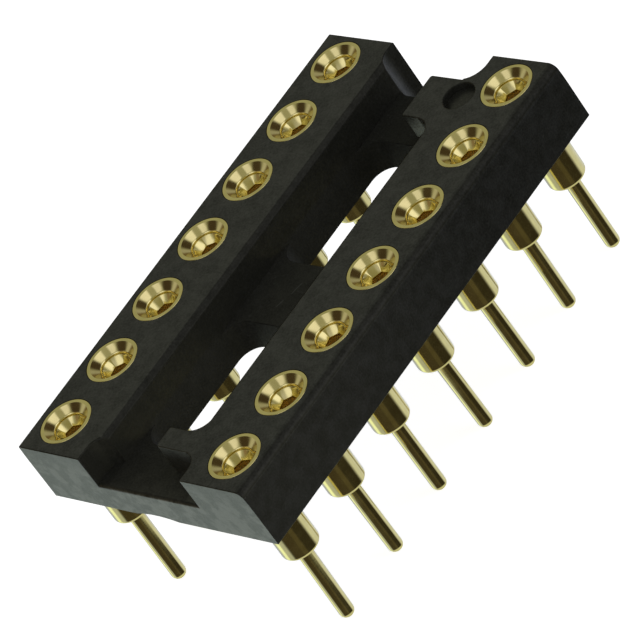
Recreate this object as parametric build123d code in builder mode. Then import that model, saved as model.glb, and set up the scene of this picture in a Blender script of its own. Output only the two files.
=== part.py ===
from build123d import *
from math import radians, tan
import os

os.makedirs("parts", exist_ok=True)

# All sizes are in millimetres. The tail tips stand on z = 0 and +Z is up.
# +Y runs along the contact rows, towards the end with the round mark.

# Contact grid
pitch = 2.54
row_spacing = 7.62
contacts_per_row = 7

# Heights
tail_length = 3.18
barrel_below_frame = 1.84
frame_height = 2.35
bar_height = 1.15

# Frame outline
left_margin = 1.16  # from a contact row to the outer side wall
right_margin = 1.285
near_margin = 1.26  # from the first contact to the near end wall
far_margin = 1.11  # from the last contact to the far end wall
left_edge_radius = 0.05
right_edge_radius = 0.3
foot_chamfer = 0.02

# Channel between the rails, widest at the top
channel_width = 3.5
channel_draft = 2.6  # degrees
inner_chamfer = 0.15

# Cross bars between the rails
near_bar_width = 1.86
mid_bar_width = 2.51
mid_bar_shift = -0.6  # centre of the middle bar from the frame's centre
far_bar_width = 1.93
window_radius = 0.75

# End recesses between the rails
near_recess_depth = 1.05
near_recess_left = 2.18  # from the middle of the channel
near_recess_right = 2.38
near_recess_radius = 0.6
far_recess_depth = 1.10
far_recess_left = 2.05
far_recess_right = 2.4
far_recess_radius = 0.75

# Tabs that reach inwards from the right rail
near_tab_width = 0.78
far_tab_width = 1.73
tab_reach = 1.25  # from the right rail's inner wall to a tab's tip
tab_root_radius = 0.68
tab_tip_radius = 0.1

# Top edge of the near bar
bar_bevel = 0.09

# Moulding marks
mark_radius = 0.56
mark_depth = 0.25
mark_inset_x = 2.22  # from the middle of the channel
mark_inset_y = 1.75  # from the far end wall
gate_half_width = 1.05
gate_depth = 0.13
gate_shift = -0.25  # from the middle of the channel

# Turned sleeve
head_radius = 0.91
head_height = 1.0
head_edge = 0.03
mouth_radius = 0.78
mouth_depth = 0.2
bore_radius = 0.5
bore_depth = 3.5
bore_point = 0.25
barrel_radius = 0.66
barrel_edge = 0.14
tail_radius = 0.26
tail_root_radius = 0.1
tail_tip_radius = 0.2

# Sprung clip
clip_top_depth = 0.27  # from the frame's top face to the clip's rim
clip_rim = 0.03  # flat ring at the rim
throat_entry_radius = 0.3
throat_entry_height = 0.25
collar_height = 0.65
collar_step = 0.1
finger_wall = 0.09
throat_radius = 0.2
throat_drop = 2.2  # from the rim to the throat
throat_height = 0.3
flare_height = 0.2
flare_widening = 0.04
slot_width = 0.1
slots = 2  # each slot crosses the clip, so two make four fingers

# Fits
head_clearance = 0.01
press_clearance = 0.0
clip_clearance = 0.0

# Values that follow from the sizes above
row_length = (contacts_per_row - 1) * pitch
frame_width = row_spacing + left_margin + right_margin
frame_length = row_length + near_margin + far_margin
middle = (left_margin - right_margin) / 2  # x midway between the contact rows
row_shift = (near_margin - far_margin) / 2
frame_bottom = tail_length + barrel_below_frame
frame_top = frame_bottom + frame_height
near_end = -frame_length / 2
far_end = frame_length / 2
wall = channel_width / 2
bar_top = frame_bottom + bar_height
near_window_start = near_end + near_bar_width
mid_bar_start = mid_bar_shift - mid_bar_width / 2
mid_bar_end = mid_bar_shift + mid_bar_width / 2
far_recess_face = far_end - far_recess_depth
far_bar_start = far_recess_face - far_bar_width
near_recess_face = near_end + near_recess_depth
tab_tip = wall - tab_reach
rail_edge = wall + inner_chamfer
bar_wall = wall - (frame_top - inner_chamfer - bar_top) * tan(radians(channel_draft))
near_tab_end = near_recess_face + near_tab_width
far_tab_start = far_recess_face - far_tab_width
clip_top = frame_top - clip_top_depth


def contact_places():
    """Contact axes, starting beside the round mark and going around the frame."""
    last = row_shift + row_length / 2
    places = [last - i * pitch for i in range(contacts_per_row)]
    right = [(middle + row_spacing / 2, y) for y in places]
    left = [(middle - row_spacing / 2, y) for y in reversed(places)]
    return right + left


def level(z):
    """A level plane with its origin midway between the contact rows."""
    return Plane(origin=(middle, 0, z))


def across(y):
    """An upright plane across the frame: its x runs to the right, its y upwards."""
    return Plane(origin=(middle, y, 0), x_dir=(1, 0, 0), z_dir=(0, -1, 0))


def upright(x, y):
    """The plane of a turned profile: its x is the radius, its y the height."""
    return Plane(origin=(x, y, 0), x_dir=(1, 0, 0), z_dir=(0, -1, 0))


def plate(x0, x1, y0, y1):
    """A rectangle in the open sketch, from corner to corner."""
    with Locations(((x0 + x1) / 2, (y0 + y1) / 2)):
        return Rectangle(x1 - x0, y1 - y0)


with BuildPart() as insulator_frame:
    # Solid block: the right long edge is well rounded, the left one hardly
    with BuildSketch(Plane.XY.offset(frame_bottom)):
        Rectangle(frame_width, frame_length)
    extrude(amount=frame_height)
    for end, radius in ((0, left_edge_radius), (-1, right_edge_radius)):
        top_edges = insulator_frame.edges().filter_by(Axis.Y).group_by(Axis.Z)[-1]
        fillet(top_edges.sort_by(Axis.X)[end], radius)
    chamfer(insulator_frame.faces().sort_by(Axis.Z)[0].edges(), foot_chamfer)

    # Channel above the bars, with drafted walls and bevelled top edges
    right_bank = [
        (bar_wall, bar_top),
        (wall, frame_top - inner_chamfer),
        (wall + 2 * inner_chamfer, frame_top + inner_chamfer),
    ]
    left_bank = [(-x, z) for x, z in reversed(right_bank)]
    with BuildSketch(across(far_end)):
        with BuildLine():
            Polyline(*right_bank, *left_bank, close=True)
        make_face()
    extrude(amount=frame_length, mode=Mode.SUBTRACT)

    # Windows through the floor, one on each side of the middle bar
    with BuildSketch(level(bar_top)) as windows:
        plate(-bar_wall, bar_wall, near_window_start, mid_bar_start)
        plate(-bar_wall, bar_wall, mid_bar_end, far_bar_start)
        fillet(windows.vertices(), window_radius)
    extrude(amount=-bar_height, taper=channel_draft, mode=Mode.SUBTRACT)

    # Tabs above the near and far bars, each with a round where it joins the right rail
    for start, end, root, turn in (
        (near_recess_face, near_tab_end, near_tab_end, 1),
        (far_tab_start, far_recess_face, far_tab_start, -1),
    ):
        with BuildSketch(level(bar_top)) as tab:
            plate(tab_tip, rail_edge, start, end)
            fillet(tab.vertices().group_by(Axis.X)[0], tab_tip_radius)
            plate(rail_edge - tab_root_radius, rail_edge, root, root + turn * tab_root_radius)
            with Locations((rail_edge - tab_root_radius, root + turn * tab_root_radius)):
                Circle(tab_root_radius, mode=Mode.SUBTRACT)
        extrude(amount=frame_top - bar_top)

    # End recesses: the near one stops at the bar, the far one goes right through
    with BuildSketch(level(bar_top)) as near_recess:
        outside = near_end - near_recess_depth
        plate(-near_recess_left, near_recess_right, outside, near_recess_face)
        fillet(near_recess.vertices().group_by(Axis.Y)[-1], near_recess_radius)
    extrude(amount=frame_height, mode=Mode.SUBTRACT)
    with BuildSketch(level(frame_bottom)) as far_recess:
        outside = far_end + far_recess_depth
        plate(-far_recess_left, far_recess_right, far_recess_face, outside)
        fillet(far_recess.vertices().group_by(Axis.Y)[0], far_recess_radius)
    extrude(amount=frame_height, mode=Mode.SUBTRACT)

    # Bevel along the near bar's outer top edge
    with BuildSketch(Plane.YZ.offset(middle - near_recess_left)):
        with BuildLine():
            Polyline(
                (near_end - bar_bevel, bar_top - 2 * bar_bevel),
                (near_end + 2 * bar_bevel, bar_top + bar_bevel),
                (near_end - bar_bevel, bar_top + bar_bevel),
                close=True,
            )
        make_face()
    extrude(amount=near_recess_left + near_recess_right, mode=Mode.SUBTRACT)

    # Shallow gate relief under the near bar
    gate_radius = (gate_half_width**2 + gate_depth**2) / (2 * gate_depth)
    with BuildSketch(across(near_end)):
        with Locations((gate_shift, frame_bottom + gate_depth - gate_radius)):
            Circle(gate_radius)
    extrude(amount=-near_bar_width / 2, mode=Mode.SUBTRACT)

    # Round mark on the far tab
    with BuildSketch(level(frame_top)):
        with Locations((mark_inset_x, far_end - mark_inset_y)):
            Circle(mark_radius)
    extrude(amount=-mark_depth, mode=Mode.SUBTRACT)

    # Stepped holes that hold the sleeves
    with BuildSketch(Plane.XY.offset(frame_top)):
        with Locations(*contact_places()):
            Circle(head_radius + head_clearance)
    extrude(amount=-head_height, mode=Mode.SUBTRACT)
    with BuildSketch(Plane.XY.offset(frame_top)):
        with Locations(*contact_places()):
            Circle(barrel_radius + press_clearance)
    extrude(amount=-frame_height, mode=Mode.SUBTRACT)
insulator_frame.part.label = "insulator_frame"
export_step(insulator_frame.part, "parts/insulator_frame.step")


def turned_sleeve(x, y):
    """One sleeve: countersunk head, barrel and solder tail, turned from a bar."""
    with BuildPart() as sleeve:
        with BuildSketch(upright(x, y)):
            with BuildLine():
                Polyline(
                    (0, 0),
                    (tail_radius, 0),
                    (tail_radius, tail_length),
                    (barrel_radius, tail_length),
                    (barrel_radius, frame_top - head_height),
                    (head_radius, frame_top - head_height),
                    (head_radius, frame_top - head_edge),
                    (head_radius - head_edge, frame_top),
                    (mouth_radius, frame_top),
                    (bore_radius, frame_top - mouth_depth),
                    (bore_radius, frame_top - bore_depth),
                    (0, frame_top - bore_depth - bore_point),
                    close=True,
                )
            make_face()
        revolve(axis=Axis((x, y, 0), (0, 0, 1)))
        rings = sleeve.edges().filter_by(GeomType.CIRCLE)
        foot = rings.group_by(Axis.Z)[0]
        shoulder = rings.group_by(Axis.Z)[1].sort_by(SortBy.RADIUS)
        fillet(foot, tail_tip_radius)
        fillet(shoulder[0], tail_root_radius)
        fillet(shoulder[-1], barrel_edge)
    return sleeve


def sprung_clip(x, y):
    """One clip: a collar pressed in the sleeve, and fingers that close to a throat."""
    outer = bore_radius - clip_clearance
    entry = clip_top - throat_entry_height
    throat_top = clip_top - throat_drop
    throat_end = throat_top - throat_height
    clip_end = throat_end - flare_height
    collar_end = clip_top - collar_height
    with BuildPart() as clip:
        with BuildSketch(upright(x, y)):
            with BuildLine():
                Polyline(
                    (outer, clip_top),
                    (outer - clip_rim, clip_top),
                    (throat_entry_radius, entry),
                    (throat_radius, throat_top),
                    (throat_radius, throat_end),
                    (throat_radius + flare_widening, clip_end),
                    (throat_radius + flare_widening + finger_wall, clip_end),
                    (throat_radius + finger_wall, throat_end),
                    (throat_radius + finger_wall, throat_top),
                    (outer - collar_step, collar_end - collar_step),
                    (outer, collar_end),
                    close=True,
                )
            make_face()
        revolve(axis=Axis((x, y, 0), (0, 0, 1)))
        with BuildSketch(Plane(origin=(x, y, clip_end))):
            with PolarLocations(0, slots, angular_range=180):
                Rectangle(2 * bore_radius, slot_width)
        extrude(amount=collar_end - collar_step - clip_end, mode=Mode.SUBTRACT)
    return clip


for number, (x, y) in enumerate(contact_places(), start=1):
    sleeve = turned_sleeve(x, y)
    sleeve.part.label = f"pin_sleeve_{number:02d}"
    export_step(sleeve.part, f"parts/{sleeve.part.label}.step")
    clip = sprung_clip(x, y)
    clip.part.label = f"spring_clip_{number:02d}"
    export_step(clip.part, f"parts/{clip.part.label}.step")
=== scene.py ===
import math
import random

import bmesh
import bpy
from mathutils import Matrix, Vector


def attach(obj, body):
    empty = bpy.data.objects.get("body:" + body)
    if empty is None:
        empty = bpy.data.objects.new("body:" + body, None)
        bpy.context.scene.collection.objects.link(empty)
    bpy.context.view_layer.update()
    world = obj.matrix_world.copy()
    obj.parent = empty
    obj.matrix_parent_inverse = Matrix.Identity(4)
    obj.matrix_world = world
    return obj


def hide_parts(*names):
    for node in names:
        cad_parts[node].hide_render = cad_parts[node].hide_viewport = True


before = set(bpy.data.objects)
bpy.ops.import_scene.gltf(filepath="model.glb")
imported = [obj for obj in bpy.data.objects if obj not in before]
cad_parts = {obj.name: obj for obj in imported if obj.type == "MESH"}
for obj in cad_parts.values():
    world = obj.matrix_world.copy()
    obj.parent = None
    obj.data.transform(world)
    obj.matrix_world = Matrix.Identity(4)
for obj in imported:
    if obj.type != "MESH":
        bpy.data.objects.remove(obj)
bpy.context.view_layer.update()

# Lengths in this file are millimetres of the part's own frame unless a comment says otherwise
MM = 0.001

# Camera: its place, its line of sight and the direction to its right
CAMERA_AT = Vector((132.7375, -74.045, 112.05))
CAMERA_VIEW = Vector((-0.7141, 0.3963, -0.5771))
CAMERA_RIGHT = Vector((0.689, 0.5438, -0.4791))
CAMERA_NEAR = 10
CAMERA_FAR = 5000
FOCAL_PIXELS = 6005.9
PICTURE_SIDE = 640
SENSOR_WIDTH = 36.0

# Contact grid
PITCH = 2.54
ROW_SPACING = 7.62
PER_ROW = 7
MIDDLE_X = -0.0625
MIDDLE_Y = 0.075

# Heights
TAIL = 3.18
FRAME_TOP = 7.37
HEAD_UNDER = 6.37
CLIP_TOP = 7.10

# Sleeve
HEAD_RADIUS = 0.91
MOUTH_RADIUS = 0.78
MOUTH_DEPTH = 0.2
BORE_RADIUS = 0.5
BORE_DEPTH = 3.5
BORE_CONE = 0.25
BARREL_RADIUS = 0.66
TAIL_RADIUS = 0.26

# How far each tail leans along ACROSS, which is given below, at its root and at its tip. They are in
# the order of the contacts: the right row, then the first of the left row. The rest stand straight.
TAIL_LEAN = [
    (0.03, 0.04),
    (-0.03, -0.02),
    (0.02, 0.07),
    (0.05, 0.11),
    (0.01, 0.03),
    (0.035, 0.06),
    (-0.045, -0.085),
    (-0.07, -0.08),
]
# The root's part of the lean sets in over this length below the shoulder
LEAN_START = 0.15

# Clip, with depths below its top
CLIP_RADIUS = BORE_RADIUS - 0.002
CONE_DEPTH = 0.25
NECK_DEPTH = 0.75
THROAT_DEPTH = 2.2
THROAT_LENGTH = 0.3
THROAT_RADIUS = 0.2
FINGER_END = 0.5
FINGERS = 4
FINGER_GAP = 0.1

# The cone's foot is pressed six-sided: the angle of one side, its middle's share of the round
# radius, and how far from the axis the press reaches
PRESS_STEP = math.pi / 3
PRESS_SHARE = 0.95
PRESS_REACH = 0.36

# Steps of a full turn, of one finger's turn and of a rounded corner
TURN_STEPS = 96
FINGER_STEPS = 12
CORNER_STEPS = 5
ON_AXIS = 1e-6

# Frame mesh: the CAD mesh is welded, its flat faces are joined, and its outward edges are rounded,
# but for those that reach below FOOT_LIMIT and those within HOLE_REACH of a contact's axis
WELD_REACH = 0.0005
JOIN_ANGLE = math.radians(1)
FOOT_LIMIT = 5.5
HOLE_REACH = 1.0
ROUNDED_FROM = math.radians(38)
EDGE_ROUNDING = 0.035
ROUNDING_STEPS = 3

# Edges bent more than this look sharp; a face counts as flat when its normal lies this well
# along an axis
SHARP_FROM = math.radians(34)
FLAT_FACE = 0.9999

# Places on the frame that look different: the inside, and the tops of the cross bars between the
# rails. Each fades out between two heights.
INSIDE_X = 4.4
INSIDE_Y = 8.74
INSIDE_SOFT = 0.02
INSIDE_TOP = (7.34, 7.28)
BARS_X = (-1.78, 1.66)
BARS_SOFT = 0.06
BARS_TOP = (6.35, 6.2)

# Two faint scratches on the middle bar, from and to (x, y), and their half width
SCRATCHES = [((-0.39, -1.15), (-0.30, -0.84)), ((-0.17, -0.57), (-0.06, -0.09))]
SCRATCH_WIDTH = 0.035

# Colours of the plastic
WHITE = (1, 1, 1, 1)
GRAIN_DARK = (0.0120, 0.0124, 0.0092, 1)
GRAIN_LIGHT = (0.0200, 0.0205, 0.0155, 1)
FIBRE = (0.040, 0.041, 0.035, 1)
# Painted fill light: a lighter colour mixed into the inside, to lift its shade
INSIDE_PAINTED_FILL = (0.055, 0.054, 0.044, 1)
# Partly the plastic's own mottled tone, partly a painted sheen on the near end face that grows
# towards its foot
END_MOTTLE_AND_PAINTED_SHEEN = (0.095, 0.100, 0.085, 1)
# Painted light on the right side, growing towards the near end
SIDE_PAINTED_LIGHT = (0.050, 0.050, 0.036, 1)
SCRATCH = (0.075, 0.076, 0.066, 1)
WARM_GLOSS = (1.0, 0.97, 0.78, 1)

# Colours of the gold
SLEEVE_TINT = (0.87, 0.745, 0.30, 1)
CLIP_TINT = (0.87, 0.75, 0.30, 1)
DEEP_TINT = (0.90, 0.67, 0.20, 1)
SHADED = 0.92

# Floor
FLOOR_HALF = 600
FLOOR_GREY = (0.8, 0.8, 0.8, 1)
FLOOR_GLOW = 0.86

# The studio's directions are the angle to the side and the height, in degrees. Seen from above the
# angle goes from FRONT, which points to the camera's side, towards ACROSS.
FRONT = (0.8746, -0.4848, 0.0)
ACROSS = (0.4848, 0.8746, 0.0)

COOL = (0.96, 0.97, 1.18)
PLAIN = (1.0, 1.0, 1.0)
BROWN = (1.15, 0.86, 0.62)
OCHRE = (1.0, 0.96, 0.66)
AMBER = (1.25, 0.95, 0.50)

# Areas of the studio: the angles and the heights between which each lies, its colour and its level.
# A later one covers an earlier one. The first is there on both sides of FRONT.
BACK_AREA = (138, 200, -6, 18, AMBER, 0.11)
AREAS = [
    (100, 136, -12, 9, AMBER, 0.80),
    (-136, -66, -12, 16, AMBER, 0.44),
    (-147, -129, 10, 27, PLAIN, 0.44),
    (130, 147, 10, 27, PLAIN, 0.33),
    (-127, -85, 23, 58, BROWN, 0.045),
    (94, 130, 19, 55, BROWN, 0.045),
    (-8, 36, 8, 42, OCHRE, 0.27),
    (-100, -80, 8, 29, BROWN, 0.20),
    (68, 112, -6, 18, COOL, 0.72),
    (43, 80, 10, 42, COOL, 1.10),
    (-31, -8, 12, 40, COOL, 0.50),
    (-66, -31, 12, 42, COOL, 0.98),
    (40, 96, 53, 80, COOL, 0.92),
    (-81, -34, 57, 80, COOL, 0.82),
]
AREA_SOFT_SIDE = 7
AREA_SOFT_UP = 5

# Colours of the studio where no area lies, beside the part and behind it
WALL = (0.33, 0.335, 0.30, 1)
BACK_WALL = (0.33, 0.34, 0.275, 1)

# Colours of the studio below the part
LOW_DARK = (0.031, 0.027, 0.019, 1)
LOW_FRONT = (0.074, 0.064, 0.042, 1)
LOW_NEAR = (0.052, 0.043, 0.029, 1)
LOW_RIGHT = (0.66, 0.71, 0.82, 1)
LOW_LEFT = (0.47, 0.52, 0.62, 1)
LOW_BACK = (1.03, 1.19, 1.02, 1)
LOWEST = (0.62, 0.66, 0.64, 1)


def make_camera():
    """A long lens from the right, above and in front of the near end."""
    data = bpy.data.cameras.new("camera")
    data.sensor_width = SENSOR_WIDTH
    data.lens = FOCAL_PIXELS * SENSOR_WIDTH / PICTURE_SIDE
    data.clip_start = CAMERA_NEAR * MM
    data.clip_end = CAMERA_FAR * MM
    camera = bpy.data.objects.new("camera", data)
    bpy.context.scene.collection.objects.link(camera)
    back = -CAMERA_VIEW.normalized()
    right = (CAMERA_RIGHT - back * CAMERA_RIGHT.dot(back)).normalized()
    up = back.cross(right)
    turn = Matrix((right, up, back)).transposed().to_4x4()
    camera.matrix_world = Matrix.Translation(CAMERA_AT * MM) @ turn
    bpy.context.scene.camera = camera


class Nodes:
    """A short way to write a node tree."""

    def __init__(self, tree):
        self.tree = tree
        tree.nodes.clear()

    def put(self, socket, value):
        """Links another node's output, or sets a plain value."""
        if isinstance(value, bpy.types.NodeSocket):
            self.tree.links.new(value, socket)
        else:
            socket.default_value = value

    def add(self, kind, inputs=None, **settings):
        """A node with its inputs by name or number."""
        node = self.tree.nodes.new(kind)
        for name, value in settings.items():
            setattr(node, name, value)
        for name, value in (inputs or {}).items():
            self.put(node.inputs[name], value)
        return node

    def math(self, operation, *values):
        node = self.add("ShaderNodeMath", operation=operation)
        for socket, value in zip(node.inputs, values):
            self.put(socket, value)
        return node.outputs[0]

    def plus(self, first, second):
        return self.math("ADD", first, second)

    def times(self, first, second):
        return self.math("MULTIPLY", first, second)

    def ramp(self, value, low, high, start=0.0, end=1.0):
        """Smooth step from start to end while value goes from low to high."""
        inputs = {"Value": value, "From Min": low, "From Max": high, "To Min": start, "To Max": end}
        node = self.add("ShaderNodeMapRange", inputs, interpolation_type="SMOOTHSTEP")
        return node.outputs["Result"]

    def band(self, value, low, high, soft):
        """1 between low and high, 0 outside, with soft edges."""
        rise = self.ramp(value, low - soft, low + soft)
        fall = self.ramp(value, high + soft, high - soft)
        return self.times(rise, fall)

    def mix(self, factor, first, second):
        """A mix of two colours."""
        inputs = {0: factor, 6: first, 7: second}
        return self.add("ShaderNodeMix", inputs, data_type="RGBA").outputs[2]

    def blend(self, factor, first, second):
        """A mix of two numbers."""
        inputs = {0: factor, 2: first, 3: second}
        return self.add("ShaderNodeMix", inputs, data_type="FLOAT").outputs[0]

    def noise(self, place, size, detail):
        """Smooth noise whose grain is about size millimetres across."""
        inputs = {"Vector": place, "Scale": 1 / (size * MM), "Detail": detail}
        return self.add("ShaderNodeTexNoise", inputs).outputs["Fac"]

    def split(self, vector):
        """The three numbers of a vector."""
        return self.add("ShaderNodeSeparateXYZ", {0: vector}).outputs


def line_mask(n, x, y, start, end, width):
    """1 on the straight line from start to end, fading out over width to each side."""
    along = (Vector(end) - Vector(start)).normalized()
    length = (Vector(end) - Vector(start)).length
    soft = 0.04
    dx = n.math("SUBTRACT", x, start[0] * MM)
    dy = n.math("SUBTRACT", y, start[1] * MM)
    forward = n.plus(n.times(dx, along.x), n.times(dy, along.y))
    aside = n.math("SUBTRACT", n.times(dx, along.y), n.times(dy, along.x))
    side = n.ramp(n.math("ABSOLUTE", aside), width * MM, 0.0)
    return n.times(side, n.band(forward, 0.0, length * MM, soft * MM))


def material(name):
    made = bpy.data.materials.new(name)
    made.use_nodes = True
    return made, Nodes(made.node_tree)


def frame_plastic():
    """Black glass-filled plastic, fine grained and mottled, duller inside and on its edges, with
    painted fill light inside and painted light on its near end and right side.
    """
    made, n = material("frame_plastic")
    place = n.add("ShaderNodeTexCoord").outputs["Object"]
    x, y, z = n.split(place)
    facing_x, facing_y, facing_z = n.split(n.add("ShaderNodeNewGeometry").outputs["Normal"])
    grain = n.noise(place, size=0.07, detail=3.0)
    cloud = n.noise(place, size=0.45, detail=4.0)
    fibres = n.noise(place, size=0.13, detail=2.0)

    # Masks of the places that look different
    between_rails = n.band(x, -INSIDE_X * MM, INSIDE_X * MM, INSIDE_SOFT * MM)
    between_ends = n.band(y, -INSIDE_Y * MM, INSIDE_Y * MM, INSIDE_SOFT * MM)
    below_top = n.ramp(z, INSIDE_TOP[0] * MM, INSIDE_TOP[1] * MM)
    inner = n.times(n.times(between_rails, below_top), between_ends)
    bars = n.band(x, BARS_X[0] * MM, BARS_X[1] * MM, BARS_SOFT * MM)
    bars = n.times(bars, n.ramp(z, BARS_TOP[0] * MM, BARS_TOP[1] * MM))
    bars = n.times(bars, inner)
    edges = n.band(facing_z, 0.25, 0.93, 0.05)
    near_end = n.times(n.ramp(facing_y, -0.7, -0.9), n.math("SUBTRACT", 1.0, inner))
    right_side = n.ramp(facing_x, 0.7, 0.9)

    colour = n.mix(n.ramp(grain, 0.30, 0.70), GRAIN_DARK, GRAIN_LIGHT)
    colour = n.mix(n.ramp(fibres, 0.62, 0.74, 0.0, 0.5), colour, FIBRE)
    # Painted fill light: the inside is made lighter to lift its shade
    colour = n.mix(n.times(inner, 0.12), colour, INSIDE_PAINTED_FILL)
    # Mottled tone on the near end face, with a painted sheen that grows towards its foot
    mottle_and_sheen = n.times(n.ramp(cloud, 0.42, 0.62), n.ramp(z, 7.3 * MM, 6.4 * MM, 0.1, 1.0))
    colour = n.mix(n.times(mottle_and_sheen, near_end), colour, END_MOTTLE_AND_PAINTED_SHEEN)
    # Painted light on the right side, growing towards the near end
    side_painted_light = n.times(n.ramp(y, 5.0 * MM, -7.0 * MM, 0.0, 0.40), right_side)
    colour = n.mix(side_painted_light, colour, SIDE_PAINTED_LIGHT)
    for start, end in SCRATCHES:
        mark = n.times(line_mask(n, x, y, start, end, SCRATCH_WIDTH), bars)
        colour = n.mix(n.times(mark, 0.7), colour, SCRATCH)

    rough = n.plus(n.plus(n.times(cloud, 0.16), n.times(bars, 0.34)), 0.24)
    gloss = n.plus(n.times(n.ramp(cloud, 0.30, 0.70), 0.26), n.times(grain, 0.50))
    gloss = n.plus(gloss, 0.11)
    bars_far = n.ramp(y, 2.5 * MM, 6.0 * MM, 0.70, 0.28)
    bars_near = n.ramp(y, -7.8 * MM, -8.8 * MM, 0.0, 0.45)
    for area, level in (
        (edges, 0.40),
        (inner, 0.70),
        (bars, n.plus(bars_far, bars_near)),
        (right_side, n.ramp(y, -4.0 * MM, 7.0 * MM, 1.05, 0.62)),
    ):
        gloss = n.times(gloss, n.blend(area, 1.0, level))
    tint = n.mix(n.math("MAXIMUM", edges, inner), WHITE, WARM_GLOSS)

    waves = n.add("ShaderNodeBump", {"Height": cloud, "Strength": 0.3, "Distance": 0.025 * MM})
    bump = n.add(
        "ShaderNodeBump",
        {"Height": grain, "Strength": 0.5, "Distance": 0.008 * MM, "Normal": waves.outputs["Normal"]},
    )
    shader = n.add(
        "ShaderNodeBsdfPrincipled",
        {
            "Base Color": colour,
            "Roughness": rough,
            "Normal": bump.outputs["Normal"],
            "Specular IOR Level": gloss,
            "Specular Tint": tint,
        },
    )
    n.add("ShaderNodeOutputMaterial", {"Surface": shader.outputs["BSDF"]})
    return made


def gold(name, tint, roughness, dull_below=None):
    """Bright gold plating over turned metal, with fine turning lines around the axis.

    Below the height dull_below it is duller and of a deeper colour.
    """
    made, n = material(name)
    place = n.add("ShaderNodeTexCoord").outputs["Object"]
    info = n.add("ShaderNodeObjectInfo")
    x, y, z = n.split(place)
    flat = n.add("ShaderNodeCombineXYZ", {0: x, 1: y}).outputs[0]
    radius = n.add("ShaderNodeVectorMath", {0: flat}, operation="LENGTH").outputs["Value"]
    round_place = n.add("ShaderNodeCombineXYZ", {0: radius, 1: z, 2: info.outputs["Random"]})
    lines = n.noise(round_place.outputs[0], size=0.05, detail=3.0)
    moved = {0: place, 1: info.outputs["Location"]}
    own_place = n.add("ShaderNodeVectorMath", moved, operation="ADD")
    cloud = n.noise(own_place.outputs[0], size=0.4, detail=3.0)
    shaded = tuple(SHADED * c for c in tint[:3]) + (1,)
    colour = n.mix(n.ramp(cloud, 0.35, 0.65), shaded, tint)
    rough = n.plus(n.times(cloud, 0.08), roughness - 0.04)
    if dull_below:
        deep = n.ramp(z, dull_below * MM, (dull_below - 0.1) * MM)
        rough = n.plus(rough, n.times(deep, 0.4))
        colour = n.mix(deep, colour, DEEP_TINT)
    bump = n.add("ShaderNodeBump", {"Height": lines, "Strength": 0.12, "Distance": 0.004 * MM})
    shader = n.add(
        "ShaderNodeBsdfPrincipled",
        {"Base Color": colour, "Roughness": rough, "Metallic": 1.0, "Normal": bump.outputs["Normal"]},
    )
    n.add("ShaderNodeOutputMaterial", {"Surface": shader.outputs["BSDF"]})
    return made


def make_floor():
    """A pale floor that looks nearly white to the camera and isn't seen in reflections."""
    half = FLOOR_HALF * MM
    corners = [(-half, -half, 0), (half, -half, 0), (half, half, 0), (-half, half, 0)]
    data = bpy.data.meshes.new("floor")
    data.from_pydata(corners, [], [(0, 1, 2, 3)])
    floor = bpy.data.objects.new("floor", data)
    bpy.context.scene.collection.objects.link(floor)
    made, n = material("floor")
    light = n.add("ShaderNodeLightPath")
    plain = n.add("ShaderNodeBsdfDiffuse", {"Color": FLOOR_GREY})
    glow = n.add("ShaderNodeEmission", {"Color": WHITE, "Strength": FLOOR_GLOW})
    both = n.add("ShaderNodeAddShader", {0: plain.outputs[0], 1: glow.outputs[0]})
    seen = n.add(
        "ShaderNodeMixShader",
        {0: light.outputs["Is Camera Ray"], 1: plain.outputs[0], 2: both.outputs[0]},
    )
    n.add("ShaderNodeOutputMaterial", {"Surface": seen.outputs[0]})
    data.materials.append(made)
    floor.visible_glossy = False


def make_world():
    """White behind the part; for reflections, a studio of bright and dark areas by direction."""
    world = bpy.data.worlds.new("studio")
    bpy.context.scene.world = world
    world.use_nodes = True
    n = Nodes(world.node_tree)
    way = n.add("ShaderNodeTexCoord").outputs["Generated"]
    front = n.add("ShaderNodeVectorMath", {0: way, 1: FRONT}, operation="DOT_PRODUCT")
    across = n.add("ShaderNodeVectorMath", {0: way, 1: ACROSS}, operation="DOT_PRODUCT")
    up = n.split(way)[2]
    degrees = 180 / math.pi
    angle = n.math("ARCTAN2", across.outputs["Value"], front.outputs["Value"])
    side = n.times(angle, degrees)
    height = n.times(n.math("ARCSINE", up), degrees)
    spread = n.math("ABSOLUTE", side)

    def cover(colour, sideways, area):
        first, last, foot, top, tint, level = area
        wide = n.band(sideways, first, last, AREA_SOFT_SIDE)
        mask = n.times(wide, n.band(height, foot, top, AREA_SOFT_UP))
        return n.mix(mask, colour, tuple(level * c for c in tint) + (1,))

    colour = n.mix(n.ramp(spread, 138, 150), WALL, BACK_WALL)
    colour = cover(colour, spread, BACK_AREA)
    for area in AREAS:
        colour = cover(colour, side, area)
    under = n.mix(n.ramp(side, 68, 92), LOW_DARK, LOW_RIGHT)
    under = n.mix(n.band(side, -16, 13, 5), under, LOW_FRONT)
    under = n.mix(n.band(side, -70, -16, 5), under, LOW_NEAR)
    under = n.mix(n.ramp(side, -69, -86), under, LOW_LEFT)
    under = n.mix(n.band(side, -136, -110, 7), under, LOW_BACK)
    under = n.mix(n.ramp(height, -48, -58), under, LOWEST)
    colour = n.mix(n.ramp(height, -12, -26), colour, under)
    light = n.add("ShaderNodeLightPath")
    seen = n.mix(light.outputs["Is Camera Ray"], colour, WHITE)
    shader = n.add("ShaderNodeBackground", {"Color": seen, "Strength": 1.0})
    n.add("ShaderNodeOutputWorld", {"Surface": shader.outputs[0]})


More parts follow.
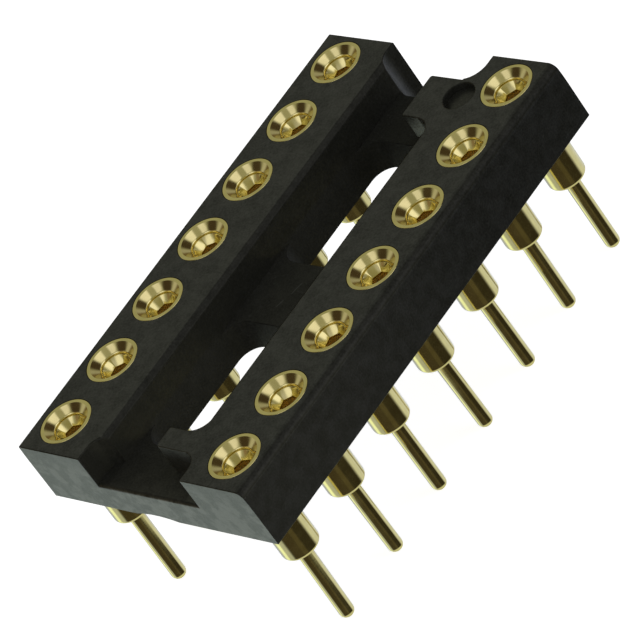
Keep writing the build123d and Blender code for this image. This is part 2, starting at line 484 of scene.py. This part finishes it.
def rounded(corners):
    """A profile of (radius, height, rounding) corners, each with a rounding turned into an arc."""
    line = []
    for i, (r, z, size) in enumerate(corners):
        here = Vector((r, z))
        if size == 0 or i in (0, len(corners) - 1):
            line.append(here)
            continue
        before = (Vector(corners[i - 1][:2]) - here).normalized()
        after = (Vector(corners[i + 1][:2]) - here).normalized()
        half = before.angle(after) / 2
        reach = size / math.tan(half)
        centre = here + (before + after).normalized() * (size / math.sin(half))
        first = here + before * reach - centre
        turn = (here + after * reach - centre).angle_signed(first)
        for k in range(CORNER_STEPS + 1):
            angle = turn * k / CORNER_STEPS
            line.append(centre + Matrix.Rotation(angle, 2) @ first)
    return line


def place_point(r, angle, z, reshape):
    """A point in metres, after reshape has moved it in the plane across the axis."""
    x, y = reshape(r * math.cos(angle), r * math.sin(angle), z, angle)
    return (x * MM, y * MM, z * MM)


def ring_faces(loops, closed):
    """Faces between neighbouring loops of point numbers."""
    faces = []
    for lower, upper in zip(loops, loops[1:]):
        count = len(lower)
        for k in range(count if closed else count - 1):
            a, b = k, (k + 1) % count
            corners = [lower[a], lower[b], upper[b], upper[a]]
            faces.append(tuple(dict.fromkeys(corners)))
    return faces


def turned(profile, reshape):
    """Points and faces of a profile of (radius, height) turned all round.

    The profile may begin and end on the axis.
    """
    points, loops = [], []
    for r, z in profile:
        if r < ON_AXIS:
            points.append(place_point(0, 0, z, reshape))
            loops.append([len(points) - 1] * TURN_STEPS)
            continue
        first = len(points)
        for k in range(TURN_STEPS):
            points.append(place_point(r, 2 * math.pi * k / TURN_STEPS, z, reshape))
        loops.append(list(range(first, first + TURN_STEPS)))
    return points, ring_faces(loops, True)


def add_sector(points, faces, profile, start, end, gap, reshape):
    """Adds a closed profile turned from start to end, less half a gap at each side."""
    loops = []
    for r, z in profile:
        trim = math.asin(gap / 2 / r)
        loops.append(list(range(len(points), len(points) + FINGER_STEPS + 1)))
        for k in range(FINGER_STEPS + 1):
            angle = start + trim + (end - start - 2 * trim) * k / FINGER_STEPS
            points.append(place_point(r, angle, z, reshape))
    faces.extend(ring_faces(loops + loops[:1], False))
    faces.append(tuple(loop[0] for loop in loops))
    faces.append(tuple(loop[-1] for loop in reversed(loops)))


def mesh_object(name, points, faces):
    """A smooth object whose edges look sharp where they are clearly bent."""
    data = bpy.data.meshes.new(name)
    data.from_pydata(points, [], faces)
    data.validate()
    data.update()
    data.shade_smooth()
    data.set_sharp_from_angle(angle=SHARP_FROM)
    made = bpy.data.objects.new(name, data)
    bpy.context.scene.collection.objects.link(made)
    return made


def contact_places():
    """Contact axes in the same order as the node numbers."""
    last = MIDDLE_Y + (PER_ROW - 1) * PITCH / 2
    along = [last - i * PITCH for i in range(PER_ROW)]
    right = [(MIDDLE_X + ROW_SPACING / 2, y) for y in along]
    left = [(MIDDLE_X - ROW_SPACING / 2, y) for y in reversed(along)]
    return right + left


def edges_to_round(shape):
    """The frame's outward edges that neither reach its foot nor belong to a contact's hole."""
    places = [Vector((x * MM, y * MM)) for x, y in contact_places()]

    def in_hole(edge):
        middle = (edge.verts[0].co + edge.verts[1].co) / 2
        return min((middle.xy - place).length for place in places) < HOLE_REACH * MM

    chosen = []
    for edge in shape.edges:
        if len(edge.link_faces) != 2 or not edge.is_convex:
            continue
        lowest = min(end.co.z for end in edge.verts)
        if lowest < FOOT_LIMIT * MM or in_hole(edge):
            continue
        if edge.calc_face_angle() > ROUNDED_FROM:
            chosen.append(edge)
    return chosen


def make_frame(plastic):
    """The moulded frame with its outer edges slightly rounded, as a mould leaves them."""
    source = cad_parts["insulator_frame"]
    data = source.data.copy()
    data.name = "moulded_frame"
    shape = bmesh.new()
    shape.from_mesh(data)
    bmesh.ops.remove_doubles(shape, verts=shape.verts, dist=WELD_REACH * MM)
    bmesh.ops.dissolve_limit(shape, angle_limit=JOIN_ANGLE, verts=shape.verts, edges=shape.edges)
    bmesh.ops.bevel(
        shape,
        geom=edges_to_round(shape),
        offset=EDGE_ROUNDING * MM,
        offset_type="OFFSET",
        segments=ROUNDING_STEPS,
        profile=0.5,
        affect="EDGES",
        clamp_overlap=False,
    )
    shape.normal_update()
    for face in shape.faces:
        face.smooth = True

    # Where a flat face meets a rounded one the edge is sharp, so that the flat face's shading is even
    for edge in shape.edges:
        flat = [max(abs(c) for c in face.normal) > FLAT_FACE for face in edge.link_faces]
        bent = len(flat) != 2 or edge.calc_face_angle() > SHARP_FROM
        edge.smooth = not bent and flat[0] == flat[1]
    shape.to_mesh(data)
    shape.free()
    data.materials.clear()
    data.materials.append(plastic)
    piece = bpy.data.objects.new("moulded_frame", data)
    bpy.context.scene.collection.objects.link(piece)
    even = piece.modifiers.new("even_normals", "WEIGHTED_NORMAL")
    even.keep_sharp = True
    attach(piece, "root")
    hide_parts("insulator_frame")


def make_sleeve(number, x, y, lean, metal):
    """One turned sleeve; the tail below the shoulder may lean a little."""
    root, tip = lean
    bore_foot = FRAME_TOP - BORE_DEPTH

    # From the tail's tip around the outside to the bore's bottom
    profile = rounded([
        (0, 0, 0),
        (TAIL_RADIUS, 0, 0.235),
        (TAIL_RADIUS, TAIL, 0.1),
        (BARREL_RADIUS, TAIL, 0.14),
        (BARREL_RADIUS, HEAD_UNDER, 0.02),
        (HEAD_RADIUS, HEAD_UNDER, 0.02),
        (HEAD_RADIUS, FRAME_TOP, 0.03),
        (MOUTH_RADIUS, FRAME_TOP, 0.02),
        (BORE_RADIUS, FRAME_TOP - MOUTH_DEPTH, 0.10),
        (BORE_RADIUS, bore_foot, 0),
        (0, bore_foot - BORE_CONE, 0),
    ])

    def bend(px, py, z, angle):
        if z >= TAIL:
            return px, py
        share = 1 - z / TAIL
        start = min(1.0, (TAIL - z) / LEAN_START)
        shift = (root + (tip - root) * share) * start
        return px + ACROSS[0] * shift, py + ACROSS[1] * shift

    piece = mesh_object(f"turned_sleeve_{number:02d}", *turned(profile, bend))
    piece.location = (x * MM, y * MM, 0)
    piece.data.materials.append(metal)
    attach(piece, "root")
    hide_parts(f"pin_sleeve_{number:02d}")


def make_clip(number, x, y, turn, metal):
    """One sprung clip: a conical collar whose foot is pressed six-sided, and fingers below it."""
    cone_foot = CLIP_TOP - CONE_DEPTH
    neck = CLIP_TOP - NECK_DEPTH
    throat = CLIP_TOP - THROAT_DEPTH
    end = throat - FINGER_END
    finger_top = neck + 0.02
    collar = rounded([
        (0.4, neck, 0),
        (CLIP_RADIUS, CLIP_TOP - 0.65, 0),
        (CLIP_RADIUS, CLIP_TOP, 0.01),
        (CLIP_RADIUS - 0.02, CLIP_TOP, 0.012),
        (0.30, cone_foot, 0.03),
        (0.275, neck, 0),
        (0.4, neck, 0),
    ])
    finger = [
        (0.24, end),
        (0.33, end),
        (0.29, throat),
        (0.395, finger_top),
        (0.28, finger_top),
        (THROAT_RADIUS, throat),
        (THROAT_RADIUS, throat - THROAT_LENGTH),
    ]

    def press(px, py, z, angle):
        r = math.hypot(px, py)
        if r > PRESS_REACH or z < throat:
            return px, py
        off = (angle + turn) % PRESS_STEP - PRESS_STEP / 2
        side = PRESS_SHARE / math.cos(off)
        depth = min(1.0, (CLIP_TOP - z) / CONE_DEPTH)
        grow = 1 + (side - 1) * depth
        return px * grow, py * grow

    points, faces = turned(collar, press)
    step = 2 * math.pi / FINGERS
    for k in range(FINGERS):
        add_sector(points, faces, finger, k * step, (k + 1) * step, FINGER_GAP, press)
    piece = mesh_object(f"finger_clip_{number:02d}", points, faces)
    piece.location = (x * MM, y * MM, 0)
    piece.data.materials.append(metal)
    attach(piece, "root")
    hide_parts(f"spring_clip_{number:02d}")


make_camera()
make_floor()
make_world()
make_frame(frame_plastic())

sleeve_gold = gold("sleeve_gold", SLEEVE_TINT, 0.115)
clip_gold = gold("clip_gold", CLIP_TINT, 0.14, dull_below=CLIP_TOP - CONE_DEPTH)
draw = random.Random(14)
straight = [(0.0, 0.0)] * (2 * PER_ROW - len(TAIL_LEAN))
contacts = zip(contact_places(), TAIL_LEAN + straight)
for number, ((x, y), lean) in enumerate(contacts, start=1):
    make_sleeve(number, x, y, lean, sleeve_gold)
    make_clip(number, x, y, draw.uniform(0, PRESS_STEP), clip_gold)

bpy.context.scene.view_settings.view_transform = "Standard"
